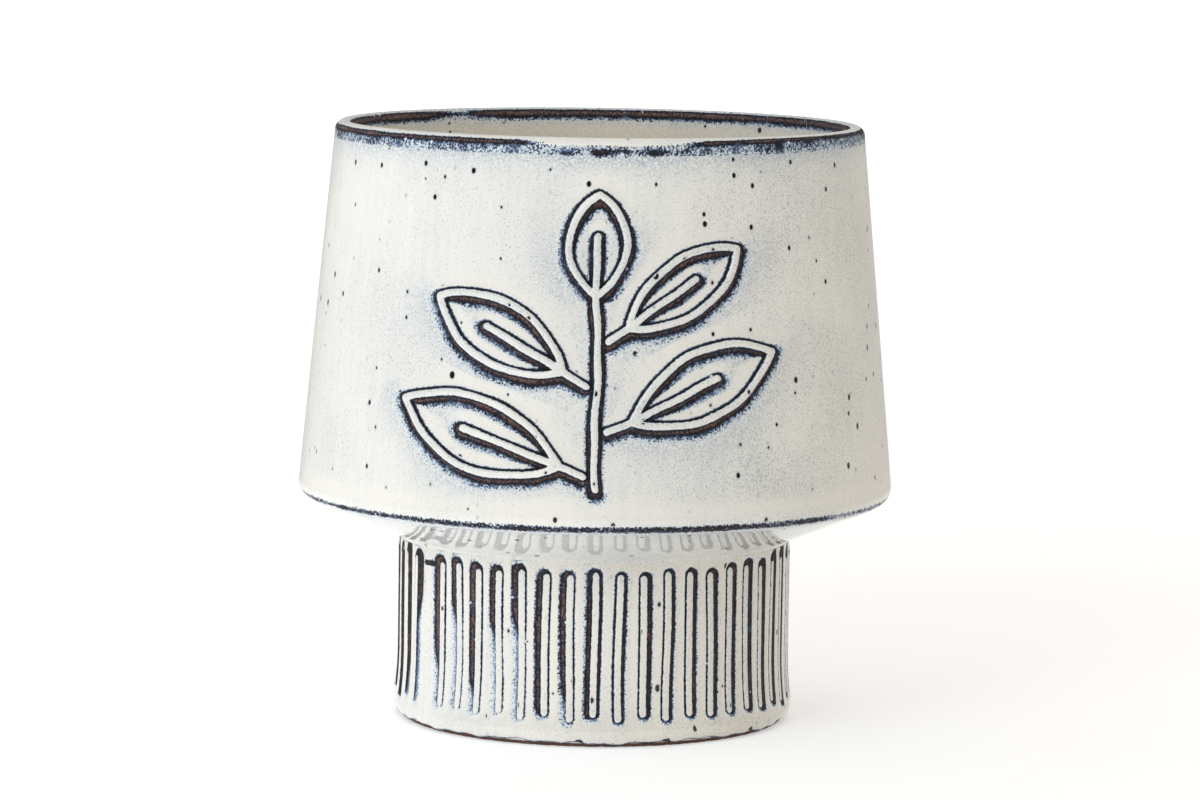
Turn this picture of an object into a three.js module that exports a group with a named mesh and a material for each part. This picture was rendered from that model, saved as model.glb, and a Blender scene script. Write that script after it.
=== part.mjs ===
// A stoneware flower pot: a tapered drum on a narrower foot, with strips of clay laid on both.
// Millimetres, +Z up, origin at the centre of the base. The decorated front faces -Y.
import * as THREE from 'three';
import { TessellateModifier } from 'three/addons/modifiers/TessellateModifier.js';

// Drum
const POT_HEIGHT = 156.5;
const RIM_DIAMETER = 138.5;
const DRUM_DIAMETER = 156;
const DRUM_WIDEST_HEIGHT = 62;
const DRUM_WALL = 5;
const DRUM_EDGE_ROUND = 4.2;
const INSIDE_COVE = 6;

// Dish under the drum
const DISH_THICKNESS = 6;
const UNDERSIDE_SLOPE_DEGREES = 22.5;
const NECK_ROUND = 1;

// Foot
const FOOT_DIAMETER = 103;
const FOOT_WALL = 5.2;
const FOOT_FLARE = 1.1;
const FOOT_FLARE_HEIGHT = 20;
const FOOT_ROLL_RADIUS = 2;
const FLOOR_THICKNESS = 6;
const RING_HEIGHT = 2;
const RING_LEDGE = 5;
const RING_CHAMFER = 0.6;

// Strips of clay laid on the surface
const STRIP_WIDTH = 2.8;
const STRIP_BEVEL = 0.5;
const RIB_THICKNESS = 0.7;
const RIB_SLOTS = 51;
const SEAM_SLOTS = 1;
const SEAM_ANGLE_DEGREES = -56;
const RIB_ABOVE_BASE = 6;
const RIB_BELOW_NECK = 1.8;

// Leaf sprig on the front of the drum: its leaves are shares of the height that the wall leaves for it
const SPRIG_THICKNESS = 1.2;
const SPRIG_BELOW_RIM = 12;
const SPRIG_ABOVE_WIDEST = 8;
const FIRST_LEAF_SHARE = 0.04;
const LEAF_SPACING_SHARE = 0.15;
const STALK_SHARE = 0.06;
const VEIN_SHARE = 0.62;
const LOW_LEAF = { lengthShare: 0.66, widthShare: 0.275, leanDegrees: 71 };
const HIGH_LEAF = { lengthShare: 0.5, widthShare: 0.225, leanDegrees: 56 };
const TIP_LEAF = { lengthShare: 0.38, widthShare: 0.225 };

// Fit and fineness
const CLEARANCE = 0.3;
const TURNED_FACETS = 64;
const ROUND_STEPS = 4;
const UPRIGHT_STRIP = { arcSteps: 2, longestEdge: 20 };
const STEM_STRIP = { arcSteps: 4, longestEdge: 30 };
const SLANTING_STRIP = { arcSteps: 4, longestEdge: 8.5 };

const GLAZE = { color: 0xece9e2, roughness: 0.18, metalness: 0 };
const RAISED_GLAZE = { color: 0xf3f1ec, roughness: 0.18, metalness: 0 };
const BARE_CLAY = { color: 0x4e3c35, roughness: 0.8, metalness: 0 };

const pot = new THREE.Group();

function addPiece(name, geometry, finish) {
  const piece = new THREE.Mesh(geometry, new THREE.MeshStandardMaterial(finish));
  piece.name = name;
  pot.add(piece);
}

// Profiles: [radius, height] points that run up the outside and down the inside
function arc(centre, radius, fromDegrees, toDegrees) {
  const points = [];
  for (let step = 0; step <= ROUND_STEPS; step += 1) {
    const angle = THREE.MathUtils.degToRad(
      THREE.MathUtils.lerp(fromDegrees, toDegrees, step / ROUND_STEPS),
    );
    points.push([centre[0] + radius * Math.cos(angle), centre[1] + radius * Math.sin(angle)]);
  }
  return points;
}

function turned(profile) {
  const closed = [...profile, profile[0]].map(([radius, height]) => new THREE.Vector2(radius, height));
  return new THREE.LatheGeometry(closed, TURNED_FACETS).rotateX(Math.PI / 2);
}

// Surfaces that neighbouring pieces share
const drumRadius = DRUM_DIAMETER / 2;
const rimRadius = RIM_DIAMETER / 2;
const footRadius = FOOT_DIAMETER / 2;
const wellRadius = footRadius - FOOT_WALL;
const lipRadius = DRUM_WALL / 2;
const lipHeight = POT_HEIGHT - lipRadius;

const drumLean = Math.atan2(drumRadius - rimRadius, lipHeight - DRUM_WIDEST_HEIGHT);
const drumRadiusAt = (height) => drumRadius - (height - DRUM_WIDEST_HEIGHT) * Math.tan(drumLean);

const slope = THREE.MathUtils.degToRad(UNDERSIDE_SLOPE_DEGREES);
const edgeCentre = [drumRadius - DRUM_EDGE_ROUND, DRUM_WIDEST_HEIGHT];
const drumSeatRadius = edgeCentre[0] + DRUM_EDGE_ROUND * Math.sin(slope);
const drumSeatHeight = edgeCentre[1] - DRUM_EDGE_ROUND * Math.cos(slope);

const neckHeight = drumSeatHeight - (drumSeatRadius - footRadius) * Math.tan(slope);
const neckTangent = NECK_ROUND * Math.tan((Math.PI / 2 - slope) / 2);
const footSeatHeight = neckHeight - neckTangent;

const rollHeight = RING_HEIGHT + FOOT_ROLL_RADIUS;
function footRadiusAt(height) {
  const spread = Math.max(0, (FOOT_FLARE_HEIGHT - height) / (FOOT_FLARE_HEIGHT - rollHeight));
  return footRadius + FOOT_FLARE * spread ** 2;
}
const rollCentre = [footRadiusAt(rollHeight) - FOOT_ROLL_RADIUS, rollHeight];

// Drum wall: straight taper, full round lip, rounded lower corner and a cove inside
function drumWall() {
  const leanDegrees = THREE.MathUtils.radToDeg(drumLean);
  const insideRadiusAt = (height) => drumRadiusAt(height) - DRUM_WALL;
  const coveTop = drumSeatHeight + INSIDE_COVE;
  return turned([
    ...arc(edgeCentre, DRUM_EDGE_ROUND, UNDERSIDE_SLOPE_DEGREES - 90, leanDegrees),
    ...arc([rimRadius - lipRadius, lipHeight], lipRadius, 0, 180),
    [insideRadiusAt(coveTop), coveTop],
    [insideRadiusAt(coveTop) - INSIDE_COVE, drumSeatHeight],
  ]);
}

// Dish: a cone of even thickness with a flat seat for the drum and a rounded neck over the foot
function shoulderDish() {
  const rise = Math.tan(slope);
  const upperHeightAt = (radius) =>
    neckHeight + (radius - footRadius) * rise + DISH_THICKNESS / Math.cos(slope);
  const flatRadius = drumSeatRadius - DISH_THICKNESS / Math.sin(slope);
  return turned([
    ...arc([footRadius + NECK_ROUND, footSeatHeight], NECK_ROUND, 180, 90 + UNDERSIDE_SLOPE_DEGREES),
    [drumSeatRadius, drumSeatHeight],
    [flatRadius, drumSeatHeight],
    [wellRadius, upperHeightAt(wellRadius)],
    [wellRadius, footSeatHeight],
  ]);
}

// Collar: a straight wall that spreads towards the base and rolls under to the ring
function footCollar() {
  const flare = [];
  for (let step = 0; step <= ROUND_STEPS; step += 1) {
    const height = THREE.MathUtils.lerp(rollHeight, FOOT_FLARE_HEIGHT, step / ROUND_STEPS);
    flare.push([footRadiusAt(height), height]);
  }
  return turned([
    ...arc(rollCentre, FOOT_ROLL_RADIUS, -90, 0).slice(0, -1),
    ...flare,
    [footRadius, footSeatHeight],
    [wellRadius, footSeatHeight],
    [wellRadius, RING_HEIGHT],
  ]);
}

function floorDisc() {
  const floorRadius = wellRadius - CLEARANCE;
  const floorTop = RING_HEIGHT + FLOOR_THICKNESS;
  return turned([
    [0, RING_HEIGHT],
    [floorRadius, RING_HEIGHT],
    [floorRadius, floorTop],
    [0, floorTop],
  ]);
}

function standingRing() {
  const innerRadius = wellRadius - RING_LEDGE;
  const outerRadius = rollCentre[0];
  return turned([
    [innerRadius + RING_CHAMFER, 0],
    [outerRadius - RING_CHAMFER, 0],
    [outerRadius, RING_CHAMFER],
    [outerRadius, RING_HEIGHT],
    [innerRadius, RING_HEIGHT],
    [innerRadius, RING_CHAMFER],
  ]);
}

addPiece('drum_wall', drumWall(), GLAZE);
addPiece('shoulder_dish', shoulderDish(), GLAZE);
addPiece('foot_collar', footCollar(), GLAZE);
addPiece('floor_disc', floorDisc(), GLAZE);
addPiece('standing_ring', standingRing(), BARE_CLAY);

// Strips are drawn flat, across and up the wall, cut short enough to bend, then bent round the wall
function pressedStrip(shape, thickness, fineness) {
  const bevel = Math.min(STRIP_BEVEL, thickness / 2);
  const strip = new THREE.ExtrudeGeometry(shape, {
    depth: thickness - bevel,
    curveSegments: fineness.arcSteps,
    bevelSize: bevel,
    bevelOffset: -bevel,
    bevelThickness: bevel,
    bevelSegments: 1,
  });
  const points = strip.attributes.position;
  for (let i = 0; i < points.count; i += 1) {
    points.setZ(i, Math.max(0, points.getZ(i)));
  }
  return new TessellateModifier(fineness.longestEdge).modify(strip);
}

function bendRoundPot(strip, radiusAt, angleDegrees, height) {
  const points = strip.attributes.position;
  for (let i = 0; i < points.count; i += 1) {
    const z = height + points.getY(i);
    const wall = radiusAt(z);
    const angle = THREE.MathUtils.degToRad(angleDegrees) + points.getX(i) / wall;
    const radius = wall + CLEARANCE + points.getZ(i);
    points.setXYZ(i, radius * Math.sin(angle), -radius * Math.cos(angle), z);
  }
  strip.computeVertexNormals();
  return strip;
}

// Foot ribs: round-ended strips at an even pitch, with a gap where the collar was joined
function ribShape(length) {
  const half = STRIP_WIDTH / 2;
  const shape = new THREE.Shape().moveTo(half, half);
  shape.lineTo(half, length - half);
  shape.absarc(0, length - half, half, 0, Math.PI);
  shape.lineTo(-half, half);
  shape.absarc(0, half, half, Math.PI, 2 * Math.PI);
  return shape;
}

const ribLength = footSeatHeight - RIB_BELOW_NECK - RIB_ABOVE_BASE;
const ribPitch = 360 / RIB_SLOTS;
const firstRibAngle = SEAM_ANGLE_DEGREES + (SEAM_SLOTS + 1) * ribPitch / 2;
for (let rib = 0; rib < RIB_SLOTS - SEAM_SLOTS; rib += 1) {
  const strip = pressedStrip(ribShape(ribLength), RIB_THICKNESS, UPRIGHT_STRIP);
  const angle = firstRibAngle + rib * ribPitch;
  const number = String(rib + 1).padStart(2, '0');
  addPiece(`foot_rib_${number}`, bendRoundPot(strip, footRadiusAt, angle, RIB_ABOVE_BASE), RAISED_GLAZE);
}

// A leaf: a stalk that runs on as a short vein, between two arcs that outline the blade
function leafShape(length, width, stalk) {
  const half = STRIP_WIDTH / 2;
  const outer = (length ** 2 + width ** 2) / (4 * width);
  const offset = outer - width / 2;
  const inner = outer - STRIP_WIDTH;
  const middle = stalk + length / 2;
  const tipAngle = Math.asin(length / 2 / outer);
  const stalkAngle = Math.acos((offset + half) / outer);
  const openTipAngle = Math.acos(offset / inner);
  const openStalkAngle = Math.acos((offset + half) / inner);
  const veinEnd = stalk + VEIN_SHARE * length - half;

  const shape = new THREE.Shape().moveTo(half, 0);
  shape.lineTo(half, middle - outer * Math.sin(stalkAngle));
  shape.absarc(-offset, middle, outer, -stalkAngle, tipAngle);
  shape.absarc(offset, middle, outer, Math.PI - tipAngle, Math.PI + stalkAngle);
  shape.lineTo(-half, 0);
  shape.absarc(0, 0, half, Math.PI, 2 * Math.PI);

  const open = new THREE.Path().moveTo(half, middle - inner * Math.sin(openStalkAngle));
  open.absarc(-offset, middle, inner, -openStalkAngle, openTipAngle);
  open.absarc(offset, middle, inner, Math.PI - openTipAngle, Math.PI + openStalkAngle);
  open.lineTo(-half, veinEnd);
  open.absarc(0, veinEnd, half, Math.PI, 0, true);
  shape.holes.push(open);
  return shape;
}

const sprigBottom = DRUM_WIDEST_HEIGHT + SPRIG_ABOVE_WIDEST;
const sprigHeight = POT_HEIGHT - SPRIG_BELOW_RIM - sprigBottom;
const tipLength = TIP_LEAF.lengthShare * sprigHeight;
const stemShape = leafShape(tipLength, TIP_LEAF.widthShare * sprigHeight, sprigHeight - tipLength);
const stem = pressedStrip(stemShape, SPRIG_THICKNESS, STEM_STRIP);
addPiece('sprig_stem', bendRoundPot(stem, drumRadiusAt, 0, sprigBottom), RAISED_GLAZE);

// Leaves leave the stem by turns to either side, shorter and steeper towards the tip
const leafNames = ['leaf_left_low', 'leaf_right_low', 'leaf_left_high', 'leaf_right_high'];
leafNames.forEach((name, place) => {
  const share = place / (leafNames.length - 1);
  const between = (key) => THREE.MathUtils.lerp(LOW_LEAF[key], HIGH_LEAF[key], share);
  const side = name.includes('left') ? -1 : 1;
  const shape = leafShape(
    between('lengthShare') * sprigHeight,
    between('widthShare') * sprigHeight,
    STALK_SHARE * sprigHeight,
  );
  const leaf = pressedStrip(shape, SPRIG_THICKNESS, SLANTING_STRIP);
  leaf.rotateZ(-side * THREE.MathUtils.degToRad(between('leanDegrees')));
  const rise = (FIRST_LEAF_SHARE + place * LEAF_SPACING_SHARE) * sprigHeight;
  leaf.translate(side * (STRIP_WIDTH + CLEARANCE), rise, 0);
  addPiece(name, bendRoundPot(leaf, drumRadiusAt, 0, sprigBottom), RAISED_GLAZE);
});

export default pot;
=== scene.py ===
# %% [markdown]
# # A stoneware flower pot under a reactive glaze
# The pot is brown stoneware: a tapered drum on a narrower foot that is ringed with raised ribs. It is dipped
# in a cream glaze that runs thin at every edge, where it turns blue and then lets the dark clay show.
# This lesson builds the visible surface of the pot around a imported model, which is the fixed frame.

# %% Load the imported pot
import math

import bpy
import numpy as np
from mathutils import Matrix, Vector


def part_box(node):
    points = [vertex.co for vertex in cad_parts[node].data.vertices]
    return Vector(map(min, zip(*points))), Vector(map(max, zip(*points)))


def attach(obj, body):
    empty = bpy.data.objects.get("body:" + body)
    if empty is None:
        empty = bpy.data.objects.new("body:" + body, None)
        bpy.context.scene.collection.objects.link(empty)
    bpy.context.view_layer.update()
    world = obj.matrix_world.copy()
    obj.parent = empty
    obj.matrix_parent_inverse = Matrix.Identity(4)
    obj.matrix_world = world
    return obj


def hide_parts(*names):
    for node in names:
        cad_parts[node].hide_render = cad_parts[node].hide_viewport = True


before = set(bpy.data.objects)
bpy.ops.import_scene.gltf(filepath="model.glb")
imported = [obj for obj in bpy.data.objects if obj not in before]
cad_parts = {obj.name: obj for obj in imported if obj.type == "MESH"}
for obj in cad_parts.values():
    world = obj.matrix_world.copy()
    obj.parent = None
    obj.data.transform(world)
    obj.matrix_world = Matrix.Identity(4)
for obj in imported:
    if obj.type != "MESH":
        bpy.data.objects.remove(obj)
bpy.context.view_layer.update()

MM = 0.001
print("packed nodes:", len(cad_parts))

# %% [markdown]
# ## Sizes
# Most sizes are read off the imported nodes, so the visible surface lies where the model is. What a box can't
# tell, such as the slope of the underside or the width of a strip of clay, is written once, in millimetres.

# %% Sizes of the turned body
def node_size(node):
    low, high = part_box(node)
    return {"radius": high.x / MM, "bottom": low.z / MM, "top": high.z / MM}


DRUM = node_size("drum_wall")
DISH = node_size("shoulder_dish")
COLLAR = node_size("foot_collar")
FLOOR = node_size("floor_disc")
RING = node_size("standing_ring")

RIM_RADIUS = 69.25
WIDEST_HEIGHT = 62.0
DRUM_WALL = 5.0
EDGE_ROUND = 4.2
INSIDE_COVE = 6.0
DISH_THICKNESS = 6.0
UNDERSIDE_SLOPE = math.radians(22.5)
NECK_ROUND = 1.0
FOOT_RADIUS = 51.5
FOOT_FLARE = 1.1
FLARE_HEIGHT = 20.0
ROLL_RADIUS = 2.0
WELL_CLEARANCE = 0.3

WELL_RADIUS = FLOOR["radius"] + WELL_CLEARANCE
ROLL_HEIGHT = RING["top"] + ROLL_RADIUS
LIP_ROUND = DRUM_WALL / 2
LIP_HEIGHT = DRUM["top"] - LIP_ROUND
DRUM_TAPER = (DRUM["radius"] - RIM_RADIUS) / (LIP_HEIGHT - WIDEST_HEIGHT)
DRUM_LEAN = math.atan(DRUM_TAPER)
print("drum", DRUM, "lean in degrees", round(math.degrees(DRUM_LEAN), 2))

# %% [markdown]
# ## Turning a surface
# A potter turns the body on a wheel, so each large piece is a closed outline swept round the axis. Blender's
# Screw modifier could do that. Here the rows and columns of the sweep also carry the raised strips and the
# distances to every edge of the glaze, so the mesh is built from an array of points.

# %% Outlines in radius and height
# Millimetres between rows of faces, by the part of an outline.
ROW_STEP = {"rib": 1.4, "wall": 0.6, "edge": 0.4, "lip": 0.35, "neck": 0.3, "underside": 1.0,
            "inside": 3.0, "cove": 0.9, "dish": 2.0, "joint": 1.5, "hidden": 6.0}


def line(start, end, step):
    count = max(1, math.ceil(math.dist(start, end) / step))
    share = np.linspace(0, 1, count + 1)[:-1, None]
    return np.array(start) * (1 - share) + np.array(end) * share


def arc(centre, radius, start, end, step):
    count = max(2, math.ceil(abs(end - start) * radius / step))
    angle = np.linspace(start, end, count + 1)[:-1]
    return np.array(centre) + radius * np.column_stack((np.cos(angle), np.sin(angle)))


def outline(*stretches):
    points = np.vstack(stretches)
    ahead = np.roll(points, -1, axis=0) - points
    length = np.hypot(*ahead.T)
    along = np.concatenate(([0.0], np.cumsum(length)))
    across = np.roll(points, -1, axis=0) - np.roll(points, 1, axis=0)
    across /= np.hypot(*across.T)[:, None]
    normal = np.column_stack((across[:, 1], -across[:, 0]))
    return {"points": points, "normal": normal, "along": along[:-1], "length": along[-1]}


def drum_radius_at(height):
    return DRUM["radius"] - (height - WIDEST_HEIGHT) * DRUM_TAPER


def foot_radius_at(height):
    spread = np.maximum(0, (FLARE_HEIGHT - height) / (FLARE_HEIGHT - ROLL_HEIGHT))
    return FOOT_RADIUS + FOOT_FLARE * spread ** 2


print("radius of the lip", round(drum_radius_at(LIP_HEIGHT), 2),
      "and of the base", round(float(foot_radius_at(ROLL_HEIGHT)), 2))

# %% [markdown]
# ## From points to a closed mesh
# Each point of the outline is pushed out along its normal by a relief, turned to every column's angle and
# joined to its neighbours by four-sided faces. Values for the glaze are kept on the points as attributes, and
# the unrolled sweep is the UV map.

# %% Faces and unrolled map of a sweep
def face_corners(rows, columns):
    row, column = np.meshgrid(np.arange(rows), np.arange(columns), indexing="ij")
    next_row, next_column = (row + 1) % rows, (column + 1) % columns
    return np.stack((
        row * columns + column,
        row * columns + next_column,
        next_row * columns + next_column,
        next_row * columns + column,
    ), axis=-1).reshape(-1, 4)


def unrolled_map(shape, angles):
    row, column = np.meshgrid(np.arange(len(shape["points"])), np.arange(len(angles)), indexing="ij")
    around = (np.append(angles, angles[0] + 2 * math.pi) - angles[0]) / (2 * math.pi)
    along = np.append(shape["along"], shape["length"]) / shape["length"]
    u = np.stack((around[column], around[column + 1], around[column + 1], around[column]), axis=-1)
    v = np.stack((along[row], along[row], along[row + 1], along[row + 1]), axis=-1)
    return np.stack((u, v), axis=-1)


print("a sweep of 3 rows and 4 columns has", len(face_corners(3, 4)), "faces")

# %% A closed mesh from an outline, column angles and a relief
SHARP_CORNER = math.radians(50)


def turned_piece(name, shape, angles, relief, fields):
    rows, columns = len(shape["points"]), len(angles)
    radius = shape["points"][:, :1] + shape["normal"][:, :1] * relief
    height = shape["points"][:, 1:] + shape["normal"][:, 1:] * relief
    places = np.stack((radius * np.sin(angles), -radius * np.cos(angles), height), axis=-1)
    corners = face_corners(rows, columns)

    mesh = bpy.data.meshes.new(name)
    mesh.vertices.add(rows * columns)
    mesh.vertices.foreach_set("co", (places * MM).astype(np.float32).ravel())
    mesh.loops.add(corners.size)
    mesh.loops.foreach_set("vertex_index", corners.astype(np.int32).ravel())
    mesh.polygons.add(len(corners))
    mesh.polygons.foreach_set("loop_start", np.arange(0, corners.size, 4, dtype=np.int32))
    mesh.update(calc_edges=True)
    mesh.validate()

    unwrapped = mesh.uv_layers.new(name="OFBake")
    unwrapped.uv.foreach_set("vector", unrolled_map(shape, angles).astype(np.float32).ravel())
    for field, values in fields.items():
        layer = mesh.attributes.new(field, "FLOAT", "POINT")
        layer.data.foreach_set("value", np.broadcast_to(values, (rows, columns)).astype(np.float32).ravel())

    mesh.shade_smooth()
    mesh.set_sharp_from_angle(angle=SHARP_CORNER)
    piece = bpy.data.objects.new(name, mesh)
    bpy.context.scene.collection.objects.link(piece)
    print(name, "has", len(mesh.polygons), "faces")
    return piece


# %% [markdown]
# ## Strips of clay
# The ribs on the foot and the leaf sprig on the drum are strips of clay laid on by hand. A separate tube for
# each would sit on the wall with a hard seam. Glaze flows over the joint on the real pot, so the strips are
# raised out of the wall instead, by each point's distance to the nearest middle line of a strip. Beside a
# strip, most of all on its lee side, the glaze has drawn back: a shallow groove where the clay is bare.

# %% Strip section and the glaze beside it
STRIP_WIDTH = 2.8
STRIP_TOP = 1.08
STRIP_CROWN = 0.5
STRIP_SKIRT = 1.75
TOP_FADE = 0.5
TOP_LOSS = 0.28
GLAZE_DEPTH = 0.2
GROOVE_HALF = 0.45
GROOVE_FADE = 0.5
OPEN_CLIMB = 4
# FAR means that no edge is near, and HAIR keeps a comparison clear of rounding.
FAR = 40.0
HAIR = 0.01


def smooth_step(share):
    share = np.clip(share, 0, 1)
    return share ** 2 * (3 - 2 * share)


def distance_to_line(x, y, bottom, top):
    return np.hypot(x, np.maximum(0, np.maximum(bottom - y, y - top)))


def strip_relief(distance, bare, proud):
    strip = proud * (1 - smooth_step((distance - STRIP_CROWN) / (STRIP_SKIRT - STRIP_CROWN)))
    middle = STRIP_WIDTH / 2 + bare / 2
    groove = np.exp(-((distance - middle) / (GROOVE_HALF + np.maximum(bare, 0) / 2)) ** 2)
    return strip - GLAZE_DEPTH * groove * np.clip(bare + GROOVE_FADE, 0, 1)


def lee_side(distance, across, along, side, drop):
    away_up = np.gradient(distance, along, axis=0)
    away_across = np.gradient(distance, axis=1) / np.gradient(across, axis=1)
    return np.clip(0.5 + 0.5 * away_across * side - drop * away_up, 0, 1)


def glaze_field(past_bare, fringe):
    field = np.where(past_bare > 0, past_bare / fringe, past_bare)
    return field + OPEN_CLIMB * np.maximum(0, field - 1)


def fading_from(distance, reach):
    return np.exp(-np.maximum(distance, 0) / reach)


def strip_fields(distance, bare, shelter, fringe, haze_reach, top_loss):
    past_bare = distance - STRIP_WIDTH / 2 - bare
    off_top = smooth_step((distance - STRIP_TOP) / TOP_FADE)
    return {
        "strip_top_mm": STRIP_TOP - top_loss * shelter - distance,
        "past_bare_mm": past_bare,
        "fringe_mm": fringe,
        "haze": (2 * shelter - 1) * fading_from(past_bare, haze_reach) * off_top,
    }


print("a strip is", STRIP_WIDTH, "mm wide under the glaze and", 2 * STRIP_TOP, "mm on its clean top")

# %% [markdown]
# ## The ribbed foot
# The foot is a collar with round-ended ribs at an even pitch and a gap where the ends of the collar were
# joined. An array modifier could repeat one rib, but each was laid by hand and sways a little, so sines of a
# rib's number make each one different. The columns are close together all the way round, as the ribs are.

# %% Ribs on the foot
RIB_SLOTS = 51
SEAM_SLOTS = 1
SEAM_ANGLE = math.radians(-56)
RIB_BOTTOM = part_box("foot_rib_01")[0].z / MM
RIB_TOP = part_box("foot_rib_01")[1].z / MM
RIB_PITCH = 2 * math.pi / RIB_SLOTS
FIRST_RIB = SEAM_ANGLE + (SEAM_SLOTS + 1) * RIB_PITCH / 2
RIB_PROUD = 0.25
RIB_SWAY = 0.3
SWAY_LENGTH = 9
END_SPREAD = {"bottom": 0.7, "top": 0.5}
NEAREST = 0.1


def rib_layout(angles, heights):
    turn = (angles - FIRST_RIB) % (2 * math.pi) / RIB_PITCH
    last = RIB_SLOTS - SEAM_SLOTS - 1
    slot = np.round(turn)
    middle_of_seam = (last + RIB_SLOTS) / 2
    slot = np.where(slot > last, np.where(turn < middle_of_seam, last, RIB_SLOTS), slot)
    number = slot % RIB_SLOTS
    sway = RIB_SWAY * np.sin(1.7 * number) * np.sin(heights / SWAY_LENGTH + 2.3 * number)
    across = (turn - slot) * RIB_PITCH * FOOT_RADIUS + sway
    half = STRIP_WIDTH / 2
    bottom = RIB_BOTTOM + half + END_SPREAD["bottom"] * (1 + np.sin(2.9 * number))
    top = RIB_TOP - half - END_SPREAD["top"] * (1 + np.sin(4.3 * number))
    away = distance_to_line(across, heights, bottom, top)
    below = np.maximum(0, bottom - heights) / np.maximum(away, NEAREST)
    return away, number, below


print("ribs:", RIB_SLOTS - SEAM_SLOTS, "at a pitch of", round(RIB_PITCH * FOOT_RADIUS, 2), "mm")

# %% [markdown]
# ## Bare clay beside the ribs
# A band of clay shows on one side of each rib: on the left at the left front, on the right elsewhere, and
# widest where the foot turns away from the front. The other side has a hairline. On the left, runs of glaze
# have flooded the lower ends of the bands, each to its own height.

# %% Widths of the bare bands and reach of the floods
BARE_LEFT = {"front": 0.8, "side": 1.5}
BARE_RIGHT = {"front": 0.5, "side": 3.6}
BARE_SPREAD = 0.2
BARE_SHARE = {"low": 0.8, "rise": 0.25}
HAIRLINE = 0.35
COVERED_END = {"all": 0.5, "left": 0.8}
SWITCH_ANGLE = 0.05
SWITCH_SPEED = 8
# Millimetres that the glaze reaches up a rib, taken in turn from rib to rib.
FLOOD_REACH = (12, 26, 7, 22, 24, 1, 8, 0)
FLOOD_FADE = 10.0


def bare_side(angles):
    return np.where(angles < SEAM_ANGLE, 1, np.clip(SWITCH_SPEED * (angles - SWITCH_ANGLE), -1, 1))


def rib_bare_width(shelter, number, below, upper_share, angles):
    round_side = np.abs(np.sin(angles))
    left_of_rib = BARE_LEFT["front"] + BARE_LEFT["side"] * round_side ** 1.5
    right_of_rib = BARE_RIGHT["front"] + BARE_RIGHT["side"] * round_side ** 5
    widest = np.where(bare_side(angles) < 0, left_of_rib, right_of_rib) + BARE_SPREAD * np.sin(3.7 * number)
    hairline = HAIRLINE * smooth_step(2 * np.sin(angles) - 1) * (1 - shelter)
    left = np.clip(-4 * np.sin(angles) - 1, 0, 1)
    covered_end = (COVERED_END["all"] + COVERED_END["left"] * left) * below ** 3
    taper = BARE_SHARE["low"] + BARE_SHARE["rise"] * upper_share
    return widest * shelter ** 1.5 * taper - covered_end - hairline


def rib_flood(number, heights, angles):
    reach = np.array(FLOOD_REACH)[number.astype(int) % len(FLOOD_REACH)]
    left = np.clip(-4 * np.sin(angles), 0, 1)
    return left * (1 - smooth_step((heights - RIB_BOTTOM - reach + FLOOD_FADE / 2) / FLOOD_FADE))


print("floods reach", min(FLOOD_REACH), "to", max(FLOOD_REACH), "mm up the ribs at the left")

# %% [markdown]
# ## Outline of the foot
# The collar spreads a little towards the base and ends in a rounded bead of glaze just above the clay ring.
# Rows are close together at the ends of the ribs, where the relief turns, and wider apart between.

# %% Outline of the foot and the ribs on it
FOOT_COLUMN = 0.32
BEAD_BOTTOM = 1.0
BEAD_TURN = 0.12
RIB_END_LOW = 6
RIB_END_HIGH = 5
RIB_DROP = -0.1
foot_angles = np.linspace(-math.pi, math.pi, round(2 * math.pi * FOOT_RADIUS / FOOT_COLUMN), endpoint=False)
roll_centre = foot_radius_at(ROLL_HEIGHT) - ROLL_RADIUS
bead = arc((0, 0), 1, -math.pi / 2, 0, BEAD_TURN) * (ROLL_RADIUS, ROLL_HEIGHT - BEAD_BOTTOM)
flare_heights = np.concatenate((
    np.arange(ROLL_HEIGHT, RIB_BOTTOM + RIB_END_LOW, ROW_STEP["wall"]),
    np.arange(RIB_BOTTOM + RIB_END_LOW, RIB_TOP - RIB_END_HIGH, ROW_STEP["rib"]),
    np.arange(RIB_TOP - RIB_END_HIGH, COLLAR["top"], ROW_STEP["wall"]),
))
foot_outline = outline(
    line((WELL_RADIUS, RING["top"]), (roll_centre, RING["top"]), ROW_STEP["joint"]),
    line((roll_centre, RING["top"]), (roll_centre, BEAD_BOTTOM), ROW_STEP["edge"]),
    bead + (roll_centre, ROLL_HEIGHT),
    np.column_stack((foot_radius_at(flare_heights), flare_heights)),
    line((FOOT_RADIUS, COLLAR["top"]), (WELL_RADIUS, COLLAR["top"]), ROW_STEP["joint"]),
    line((WELL_RADIUS, COLLAR["top"]), (WELL_RADIUS, RING["top"]), ROW_STEP["hidden"]),
)
foot_radius, foot_height = foot_outline["points"][:, :1], foot_outline["points"][:, 1:]
outside = foot_radius > roll_centre + HAIR
rib_away, rib_number, rib_below = rib_layout(foot_angles, foot_height)
rib_away = np.where(outside, rib_away, FAR)
rib_across = np.broadcast_to(foot_angles * FOOT_RADIUS, rib_away.shape)
rib_shelter = lee_side(rib_away, rib_across, foot_outline["along"], bare_side(foot_angles), RIB_DROP)
rib_upper = (foot_height - RIB_BOTTOM) / (RIB_TOP - RIB_BOTTOM)
rib_bare = rib_bare_width(rib_shelter, rib_number, rib_below, rib_upper, foot_angles)
print("foot outline:", len(foot_outline["points"]), "rows of", len(foot_angles), "columns")

# %% [markdown]
# ## Breaks in the glaze of the foot
# Runs of glaze cover some of the bare bands. The bead at the base is chipped in a few places, and one short
# dash of clay crosses the seam. Each is a distance in millimetres or a share from 0 to 1.

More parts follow.
